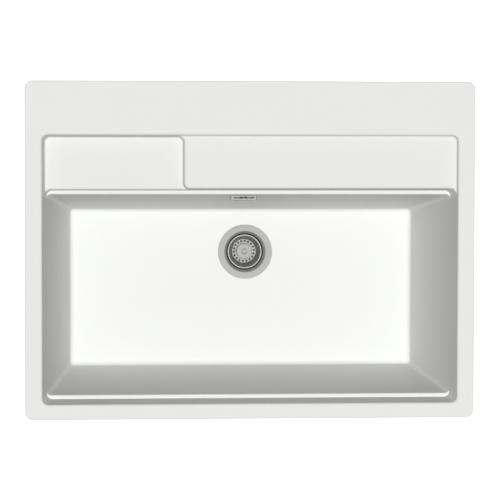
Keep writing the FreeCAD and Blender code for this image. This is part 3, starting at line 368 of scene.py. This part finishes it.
def brushed_finish(colour):
    """Sheet steel brushed along X, for the overflow cover."""
    finish = Finish("brushed_cover_steel")
    place = finish.place()
    along = finish.vector_maths("MULTIPLY", place, (0.03, 1.0, 1.0))
    brush = finish.noise(along, 3800.0, detail=3.0, roughness=0.7)
    haze = finish.noise(place, 150.0)
    tint = finish.mix(brush * 0.7 + haze * 0.3, shade(colour, 0.9), shade(colour, 1.12))
    relief = finish.bump(brush, strength=0.15, distance=0.00006)
    return finish.done(Base_Color=tint, Metallic=1.0,
                       Roughness=brush * 0.12 + haze * 0.06 + 0.1, Normal=relief)


def zinc_finish(colour):
    """Bright zinc plating: small crystals, a faint yellow passivation and dull patches."""
    finish = Finish("zinc_plating")
    place = finish.place()
    crystals = finish.cells(place, 900.0)
    patches = finish.noise(place, 120.0, detail=4.0, roughness=0.6)
    straw = (colour[0] * 1.08, colour[1], colour[2] * 0.84, 1.0)
    plating = finish.mix(patches, shade(colour, 1.05), straw)
    tint = finish.mix(crystals * 0.5, plating, shade(colour, 0.8))
    relief = finish.bump(crystals + patches, strength=0.2, distance=0.00005)
    return finish.done(Base_Color=tint, Metallic=1.0,
                       Roughness=patches * 0.22 + crystals * 0.1 + 0.26, Normal=relief)


def plastic_finish(name, colour, roughness, grain_scale):
    """Moulded plastic: eroded grain, slow changes of gloss and a little dust in patches."""
    finish = Finish(name)
    place = finish.place()
    grain = finish.cells(place, grain_scale)
    upright = finish.vector_maths("MULTIPLY", place, (1.0, 1.0, 0.35))
    flow = finish.noise(upright, 60.0, detail=3.0, roughness=0.55)
    patches = finish.noise(place, 28.0, detail=5.0, roughness=0.65)
    dust = finish.ramp(patches, (0.45, 0.0), (0.8, 1.0))
    clean = finish.mix(flow, shade(colour, 0.88), shade(colour, 1.12))
    tint = finish.mix(dust * 0.12, clean, DUST)
    relief = finish.bump(grain, strength=0.25, distance=0.00008)
    return finish.done(Base_Color=tint, Roughness=flow * 0.12 + dust * 0.1 + roughness,
                       Normal=relief)


def rubber_finish(colour):
    """Matt moulded rubber with a bloom on it."""
    finish = Finish("seal_rubber")
    place = finish.place()
    bloom = finish.noise(place, 90.0, detail=4.0, roughness=0.6)
    pale = finish.ramp(bloom, (0.4, 0.0), (0.75, 1.0))
    tint = finish.mix(pale, shade(colour, 1.0), shade(colour, 2.2))
    relief = finish.bump(finish.noise(place, 1500.0), strength=0.3, distance=0.00006)
    return finish.done(Base_Color=tint, Roughness=bloom * 0.14 + 0.66, Normal=relief)


def floor_finish():
    """Pale floor that shows white to the camera and in mirrors, and still takes the shadow."""
    finish = Finish("stage_floor")
    clouds = finish.noise(finish.place(), 3.0, detail=3.0)
    tone = finish.mix(clouds, *FLOOR_GREYS)
    matt = finish.add("ShaderNodeBsdfDiffuse", None, {"Color": tone})
    glow = finish.add("ShaderNodeEmission", None, {"Color": WHITE, "Strength": FLOOR_GLOW})
    both = finish.add("ShaderNodeAddShader", None, {0: matt, 1: glow})
    surface = finish.add("ShaderNodeMixShader", None, {0: finish.seen(), 1: matt, 2: both})
    finish.add("ShaderNodeOutputMaterial", None, {"Surface": surface})
    return finish.block


def room_world(sky):
    """Room that lights the sink at a level of its own and shows white to the camera."""
    room = Finish("room", bpy.data.worlds)
    dim, white = (
        room.add("ShaderNodeBackground", None, {"Color": WHITE, "Strength": level})
        for level in (sky, 1.0))
    surface = room.add("ShaderNodeMixShader", None, {0: room.seen(), 1: dim, 2: white})
    room.add("ShaderNodeOutputWorld", None, {"Surface": surface})
    return room.block


FINISHES = {}


def finish_for(name):
    """The material of this name, made once; a slot's own material has the slot's name."""
    colours = bpy.context.scene.sink_colours
    makers = {
        "composite": lambda: composite_finish(colours.composite),
        # painted shade: the satin steel is painted nearly black below the basket's base
        "satin_steel": lambda: spun_finish(name, colours.steel, 0.36, BASKET_FLOOR - PAINTED_SHADE_GAP),
        "polished_steel": lambda: polished_finish(colours.basket),
        "cover_steel": lambda: brushed_finish(colours.cover),
        "seal_rubber": lambda: rubber_finish(colours.rubber),
        "dark_plastic": lambda: plastic_finish(name, colours.dark_plastic, 0.36, 1500.0),
        "grey_plastic": lambda: plastic_finish(name, colours.grey_plastic, 0.4, 1500.0),
        "light_plastic": lambda: plastic_finish(name, colours.light_plastic, 0.32, 1300.0),
        "insert_brass": lambda: spun_finish(name, colours.brass, 0.2),
        "plated_steel": lambda: zinc_finish(colours.zinc),
    }
    if name not in FINISHES:
        FINISHES[name] = makers[name]()
    return FINISHES[name]


# ------------------------------------------------------------------ meshes
SMOOTH_BELOW = math.radians(32.0)   # angle between faces, past which their edge is sharp
WELD = 0.002 * MM                   # corners nearer than this are one
FLAT_FACES_FIRST = 100              # weight of the large faces in a corner's normal


def new_piece(name, data):
    """An object in the scene with this mesh, lamp or camera."""
    piece = bpy.data.objects.new(name, data)
    bpy.context.collection.objects.link(piece)
    return piece


def flat_mesh(piece, name):
    """The piece with its modifiers worked into a plain mesh."""
    evaluated = piece.evaluated_get(bpy.context.evaluated_depsgraph_get())
    mesh = bpy.data.meshes.new_from_object(evaluated)
    mesh.name = name
    return mesh


def settle_shading(piece):
    """Smooth across fillets, sharp at edges, with flat faces kept flat."""
    mesh = piece.data
    mesh.polygons.foreach_set("use_smooth", [True] * len(mesh.polygons))
    mesh.set_sharp_from_angle(angle=SMOOTH_BELOW)
    weighted = piece.modifiers.new("flat faces", "WEIGHTED_NORMAL")
    weighted.mode = "FACE_AREA"
    weighted.weight = FLAT_FACES_FIRST
    weighted.keep_sharp = True
    shaded = flat_mesh(piece, piece.name)
    piece.modifiers.clear()
    piece.data = shaded


def welded_copy(node, name):
    """A merged copy of a CAD node's mesh, without a triangle that is there twice."""
    mesh = bpy.data.meshes.new(name)
    shape = bmesh.new()
    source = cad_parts[node].data
    corners = [shape.verts.new(vertex.co) for vertex in source.vertices]
    for face in source.polygons:
        try:
            shape.faces.new([corners[i] for i in face.vertices])
        except ValueError:
            continue
    bmesh.ops.remove_doubles(shape, verts=shape.verts, dist=WELD)
    shape.to_mesh(mesh)
    shape.free()
    return mesh


def settle(piece, body, slot, finish=None, hides=()):
    """Gives a finished mesh its material and its body, and hides the CAD nodes that it stands for.
    """
    piece.data.materials.clear()
    piece.data.materials.append(finish_for(finish or slot))
    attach(piece, body)
    if hides:
        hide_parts(*hides)


def dress(node, name, body, slot, finish=None):
    """A smooth, welded piece that stands for one CAD node."""
    piece = new_piece(name, welded_copy(node, name))
    settle_shading(piece)
    settle(piece, body, slot, finish, (node,))


def coat(node, slot):
    """A better material on a CAD node that stays as it is."""
    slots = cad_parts[node].data.materials
    slots.clear()
    slots.append(finish_for(slot))


# ------------------------------------------------------------------ geometry nodes
class Growth:
    """A Geometry Nodes tree under construction, with named inputs."""

    def __init__(self, name, **inputs):
        self.tree = bpy.data.node_groups.new(name, "GeometryNodeTree")
        kinds = {int: "NodeSocketInt", float: "NodeSocketFloat", Vector: "NodeSocketVector",
                 bpy.types.Material: "NodeSocketMaterial"}
        sockets = self.tree.interface
        for label, kind in inputs.items():
            sockets.new_socket(label, in_out="INPUT", socket_type=kinds[kind])
        sockets.new_socket("Geometry", in_out="OUTPUT", socket_type="NodeSocketGeometry")
        self.given = self.tree.nodes.new("NodeGroupInput").outputs

    def add(self, kind, settings=None, sockets=None):
        """Adds a node; a socket takes a value, an output or a list of outputs."""
        node = self.tree.nodes.new(kind)
        for name, value in (settings or {}).items():
            setattr(node, name, value)
        for name, value in (sockets or {}).items():
            for item in value if isinstance(value, list) else [value]:
                if isinstance(item, bpy.types.NodeSocket):
                    self.tree.links.new(item, node.inputs[name])
                else:
                    node.inputs[name].default_value = item
        return node.outputs[0]

    def maths(self, operation, first, second):
        return self.add("ShaderNodeMath", {"operation": operation}, {0: first, 1: second})

    def vector(self, x=0.0, y=0.0, z=0.0):
        return self.add("ShaderNodeCombineXYZ", None, {"X": x, "Y": y, "Z": z})

    def circle(self, steps, radius):
        sockets = {"Resolution": steps, "Radius": radius}
        return self.add("GeometryNodeCurvePrimitiveCircle", None, sockets)

    def rectangle(self, width, height):
        sockets = {"Width": width, "Height": height}
        return self.add("GeometryNodeCurvePrimitiveQuadrilateral", None, sockets)

    def upright(self, curve):
        """The curve with its sections kept upright all the way along."""
        return self.add("GeometryNodeSetCurveNormal", {"mode": "Z_UP"}, {"Curve": curve})

    def swept(self, path, section, caps=False):
        sockets = {"Curve": path, "Profile Curve": section, "Fill Caps": caps}
        return self.add("GeometryNodeCurveToMesh", None, sockets)

    def moved(self, geometry, offset):
        sockets = {"Geometry": geometry, "Translation": offset}
        return self.add("GeometryNodeTransform", None, sockets)

    def end(self, geometry):
        """Moves the geometry to its centre, realizes it, sets its material and hands it out."""
        placed = self.moved(geometry, self.given["Centre"])
        solid = self.add("GeometryNodeRealizeInstances", None, {"Geometry": placed})
        painted = self.add("GeometryNodeSetMaterial", None,
                           {"Geometry": solid, "Material": self.given["Material"]})
        output = self.tree.nodes.new("NodeGroupOutput")
        self.tree.links.new(painted, output.inputs["Geometry"])
        return self.tree


def grown(name, tree, **values):
    """Runs a tree and returns its result as a plain mesh."""
    holder = bpy.data.objects.new(name, bpy.data.meshes.new(name))
    modifier = holder.modifiers.new("growth", "NODES")
    modifier.node_group = tree
    for item in tree.interface.items_tree:
        if item.in_out == "INPUT":
            modifier[item.identifier] = values[item.name]
    bpy.context.collection.objects.link(holder)
    mesh = flat_mesh(holder, name)
    holder.modifiers.clear()
    bpy.data.objects.remove(holder)
    return mesh


def lips_tree():
    """Round lips in a ring: one pressed round each hole of a circle of holes."""
    growth = Growth("pressed lips", Count=int, Circle=float, Hole=float, Lip=float, Turn=float,
                    Centre=Vector, Material=bpy.types.Material)
    given = growth.given
    places = growth.add("GeometryNodeMeshCircle", None,
                        {"Vertices": given["Count"], "Radius": given["Circle"]})
    turned = growth.add("GeometryNodeTransform", None,
                        {"Geometry": places, "Rotation": growth.vector(z=given["Turn"])})
    ring = growth.circle(LIP_STEPS, growth.maths("ADD", given["Hole"], given["Lip"]))
    lip = growth.swept(ring, growth.circle(ROUND_STEPS, given["Lip"]))
    lips = growth.add("GeometryNodeInstanceOnPoints", None, {"Points": turned, "Instance": lip})
    return growth.end(lips)


def thread_tree():
    """A helical ridge round an upright core."""
    growth = Growth("screw thread", Length=float, Radius=float, Depth=float, Pitch=float,
                    Centre=Vector, Material=bpy.types.Material)
    given = growth.given
    core = growth.maths("SUBTRACT", given["Radius"], given["Depth"])
    turns = growth.maths("DIVIDE", given["Length"], given["Pitch"])
    path = growth.add("GeometryNodeCurveSpiral", None,
                      {"Resolution": TURN_STEPS, "Rotations": turns, "Start Radius": core,
                       "End Radius": core, "Height": given["Length"]})
    section = growth.circle(RIDGE_STEPS, given["Depth"])
    return growth.end(growth.swept(growth.upright(path), section, caps=True))


def seal_tree():
    """A flat strip with beads, run round a rounded rectangle."""
    growth = Growth("rim seal", Length=float, Depth=float, Corner=float, Width=float,
                    Height=float, Bead=float, Centre=Vector, Material=bpy.types.Material)
    given = growth.given
    outline = growth.rectangle(given["Length"], given["Depth"])
    path = growth.add("GeometryNodeFilletCurve", {"mode": "POLY"},
                      {"Curve": outline, "Radius": given["Corner"], "Count": CORNER_STEPS})
    section = [growth.rectangle(given["Width"], given["Height"])]
    for share in BEAD_PLACES:
        offset = growth.vector(x=growth.maths("MULTIPLY", given["Width"], share),
                               y=growth.maths("MULTIPLY", given["Height"], -0.5))
        section.append(growth.moved(growth.circle(ROUND_STEPS, given["Bead"]), offset))
    profile = growth.add("GeometryNodeJoinGeometry", None, {"Geometry": section})
    return growth.end(growth.swept(growth.upright(path), profile))


def pressed_lips(name, body, slot, holes, pitch, hole, turn, level):
    """Lips round a ring of holes about the drain's axis, at one height."""
    mesh = grown(name, lips_tree(), Count=holes, Circle=pitch, Hole=hole,
                 Lip=bpy.context.scene.sink_sizes.pressed_lip, Turn=turn,
                 Centre=DRAIN + Vector((0, 0, level)), Material=finish_for(slot))
    settle(new_piece(name, mesh), body, slot)


# ------------------------------------------------------------------ operators
class SINK_OT_moulding(bpy.types.Operator):
    """Moulded bowl, shelves, rim and tap deck"""
    bl_idname = "sink.moulding"
    bl_label = "Moulded sink"

    def execute(self, context):
        dress("sink_body", "moulded_sink", "sink", "composite")
        return {"FINISHED"}


class SINK_OT_strainer(bpy.types.Operator):
    """Strainer cup with its flange, and the lips pressed round its outlets"""
    bl_idname = "sink.strainer"
    bl_label = "Strainer cup"

    def execute(self, context):
        sizes = context.scene.sink_sizes
        dress("strainer_cup", "flange_and_cup", "sink", "satin_steel")
        dress("waste_clamping_screw", "strainer_screw", "sink", "polished_steel")
        pressed_lips("cup_outlet_lips", "sink", "satin_steel", sizes.cup_holes, sizes.cup_pitch,
                     sizes.cup_hole, 0.0, CUP_FLOOR)
        coat("flange_gasket", "seal_rubber")
        return {"FINISHED"}


class SINK_OT_basket(bpy.types.Operator):
    """Lift-out basket with pressed lips round its holes, its knob, stem, clip and stopper"""
    bl_idname = "sink.basket"
    bl_label = "Lift-out basket"

    def execute(self, context):
        sizes = context.scene.sink_sizes
        quarter_pitch = math.pi / 2 / sizes.basket_holes
        dress("basket", "strainer_basket", "basket", "polished_steel")
        pressed_lips("basket_hole_lips", "basket", "polished_steel", sizes.basket_holes,
                     sizes.basket_pitch, sizes.basket_hole, quarter_pitch, BASKET_FLOOR)
        dress("basket_hub_washer", "hub_washer", "basket", "dark_plastic")
        dress("basket_knob", "lift_knob", "basket_knob", "satin_steel")
        dress("basket_stem", "knob_stem", "basket_knob", "dark_plastic")
        dress("basket_clip", "stem_clip", "basket_knob", "polished_steel")
        dress("basket_stopper", "rubber_stopper", "basket_knob", "seal_rubber")
        return {"FINISHED"}


class SINK_OT_overflow_cover(bpy.types.Operator):
    """Overflow cover, its liner and its screw, on the bowl's back wall"""
    bl_idname = "sink.overflow_cover"
    bl_label = "Overflow cover"

    def execute(self, context):
        dress("overflow_cover", "overflow_cap", "sink", "satin_steel", "cover_steel")
        dress("overflow_cover_screw", "overflow_cap_screw", "sink", "polished_steel")
        dress("overflow_liner", "overflow_cap_liner", "sink", "dark_plastic", "grey_plastic")
        coat("overflow_gasket", "seal_rubber")
        return {"FINISHED"}


class SINK_OT_overflow_pipes(bpy.types.Operator):
    """Elbow, pipes, bend and coupling nuts that lead the overflow to the waste"""
    bl_idname = "sink.overflow_pipes"
    bl_label = "Overflow pipes"

    def execute(self, context):
        dress("overflow_elbow", "elbow_housing", "sink", "dark_plastic")
        dress("overflow_bend", "pipe_bend", "sink", "dark_plastic")
        dress("overflow_down_pipe", "down_pipe", "sink", "light_plastic")
        dress("overflow_cross_pipe", "cross_pipe", "sink", "light_plastic")
        for place in NUT_PLACES:
            dress("overflow_nut_" + place, "coupling_nut_" + place, "sink", "light_plastic")
        coat("overflow_seal_rings", "seal_rubber")
        return {"FINISHED"}


class SINK_OT_waste(bpy.types.Operator):
    """Pot, bridge and threaded tail below the bowl, with their gasket and threaded insert"""
    bl_idname = "sink.waste"
    bl_label = "Waste body"

    def execute(self, context):
        dress("waste_body", "waste_pot", "sink", "dark_plastic")
        dress("waste_bridge", "screw_bridge", "sink", "dark_plastic")
        dress("waste_tail", "threaded_tail", "sink", "dark_plastic")
        coat("waste_body_gasket", "seal_rubber")
        coat("waste_threaded_insert", "insert_brass")
        return {"FINISHED"}


class SINK_OT_rim_seal(bpy.types.Operator):
    """Beaded sealing strip in the groove under the rim"""
    bl_idname = "sink.rim_seal"
    bl_label = "Rim seal"

    def execute(self, context):
        bead = context.scene.sink_sizes.seal_bead
        low, high = (Vector(corner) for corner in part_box("rim_seal"))
        height = high.z - low.z - bead
        middle_line = high - low - Vector((SEAL_WIDTH, SEAL_WIDTH, 0))
        mesh = grown("beaded_seal", seal_tree(), Length=middle_line.x, Depth=middle_line.y,
                     Corner=SEAL_CORNER_R, Width=STRIP_WIDTH, Height=height, Bead=bead,
                     Centre=Vector((0, 0, high.z - height / 2)),
                     Material=finish_for("seal_rubber"))
        settle(new_piece("beaded_seal", mesh), "sink", "seal_rubber", hides=("rim_seal",))
        return {"FINISHED"}


class SINK_OT_clamps(bpy.types.Operator):
    """Worktop clamps: swinging arm, threaded screw and washer at each of six places"""
    bl_idname = "sink.clamps"
    bl_label = "Worktop clamps"

    def execute(self, context):
        sizes = context.scene.sink_sizes
        tree = thread_tree()
        for place in CLAMP_PLACES:
            lift = "clamp_lift_" + place
            self.screw(place, lift, tree, sizes)
            dress("clamp_washer_" + place, "clamp_disc_" + place, lift, "plated_steel")
            dress("clamp_arm_" + place, "swing_arm_" + place, "clamp_arm_" + place, "plated_steel")
        coat("clamp_inserts", "insert_brass")
        return {"FINISHED"}

    def screw(self, place, lift, tree, sizes):
        """The CAD screw with its shank cut down to the thread's root, and the thread round it."""
        node = "clamp_screw_" + place
        low, high = (Vector(corner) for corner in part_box(node))
        axis = axis_of(node)
        head_top = low.z + CLAMP_HEAD
        mesh = welded_copy(node, "threaded_" + node)
        shape = bmesh.new()
        shape.from_mesh(mesh)
        root = 1 - sizes.thread_depth / CLAMP_SCREW_R
        for vertex in shape.verts:
            away = vertex.co - axis
            reach = math.hypot(away.x, away.y)
            if vertex.co.z > head_top - HEAD_MARGIN and reach < CLAMP_SCREW_R * SHANK_REACH:
                vertex.co.x = axis.x + away.x * root
                vertex.co.y = axis.y + away.y * root
        shape.to_mesh(mesh)
        shape.free()
        shank = new_piece("screw_shank_" + place, mesh)
        settle_shading(shank)
        margin = sizes.thread_depth * BARE_END
        ridge = grown("screw_thread_" + place, tree, Length=high.z - head_top - 2 * margin,
                      Radius=CLAMP_SCREW_R, Depth=sizes.thread_depth, Pitch=sizes.screw_pitch,
                      Centre=axis + Vector((0, 0, head_top + margin)),
                      Material=finish_for("plated_steel"))
        thread = new_piece("screw_thread_" + place, ridge)
        settle(shank, lift, "plated_steel", hides=(node,))
        settle(thread, lift, "plated_steel")


class SINK_OT_stage(bpy.types.Operator):
    """Floor, lights, world and camera"""
    bl_idname = "sink.stage"
    bl_label = "Stage"

    def execute(self, context):
        stage = context.scene.sink_stage
        self.floor()
        self.light(stage)
        self.camera(context.scene, stage)
        context.scene.world = room_world(stage.sky)
        context.scene.view_settings.view_transform = "Standard"
        return {"FINISHED"}

    def floor(self):
        level = LOWEST - FLOOR_GAP
        corners = [(x * FLOOR_REACH, y * FLOOR_REACH, level)
                   for x, y in ((-1, -1), (1, -1), (1, 1), (-1, 1))]
        mesh = bpy.data.meshes.new("stage_floor")
        mesh.from_pydata(corners, [], [(0, 1, 2, 3)])
        mesh.materials.append(floor_finish())
        new_piece("stage_floor", mesh)

    def light(self, stage):
        lamp = bpy.data.lights.new("overhead", "SUN")
        lamp.energy = stage.overhead * math.pi
        lamp.angle = LIGHT_ANGLE
        overhead = new_piece("overhead", lamp)
        overhead.rotation_euler = (0, -stage.light_lean, 0)
        overhead.visible_glossy = False

    def camera(self, scene, stage):
        """Camera that looks down at the rim, leaning a little to the side and to the back."""
        data = bpy.data.cameras.new("camera")
        data.lens = stage.lens
        data.sensor_width = SENSOR
        camera = new_piece("camera", data)
        away = Vector((math.sin(stage.lean_x), math.sin(stage.lean_y), 0))
        away.z = math.sqrt(1 - away.length_squared)
        right = (-away).cross(Vector((0, 1, 0))).normalized()
        up = right.cross(-away)
        turned = Matrix((right, up, away)).transposed() @ Matrix.Rotation(stage.roll, 3, "Z")
        camera.matrix_world = Matrix.Translation(TARGET + away * stage.distance) @ turned.to_4x4()
        scene.camera = camera


PIECES = (SINK_OT_moulding, SINK_OT_strainer, SINK_OT_basket, SINK_OT_overflow_cover,
          SINK_OT_overflow_pipes, SINK_OT_waste, SINK_OT_rim_seal, SINK_OT_clamps, SINK_OT_stage)


class SINK_PT_panel(bpy.types.Panel):
    """Lists the sink's operators and their settings"""
    bl_idname = "SINK_PT_panel"
    bl_label = "Inset kitchen sink"
    bl_space_type = "VIEW_3D"
    bl_region_type = "UI"
    bl_category = "Sink"

    def draw(self, context):
        for operator in PIECES:
            self.layout.operator(operator.bl_idname)
        scene = context.scene
        for group in (scene.sink_sizes, scene.sink_colours, scene.sink_stage):
            box = self.layout.box()
            for name in group.bl_rna.properties.keys():
                if name not in ("rna_type", "name"):
                    box.prop(group, name)


CLASSES = (SinkSizes, SinkColours, SinkStage) + PIECES + (SINK_PT_panel,)


def register():
    for cls in CLASSES:
        bpy.utils.register_class(cls)
    bpy.types.Scene.sink_sizes = PointerProperty(type=SinkSizes)
    bpy.types.Scene.sink_colours = PointerProperty(type=SinkColours)
    bpy.types.Scene.sink_stage = PointerProperty(type=SinkStage)


def unregister():
    del bpy.types.Scene.sink_stage
    del bpy.types.Scene.sink_colours
    del bpy.types.Scene.sink_sizes
    for cls in reversed(CLASSES):
        bpy.utils.unregister_class(cls)


def main():
    register()
    for operator in PIECES:
        group, name = operator.bl_idname.split(".")
        getattr(getattr(bpy.ops, group), name)()


if __name__ == "__main__":
    main()
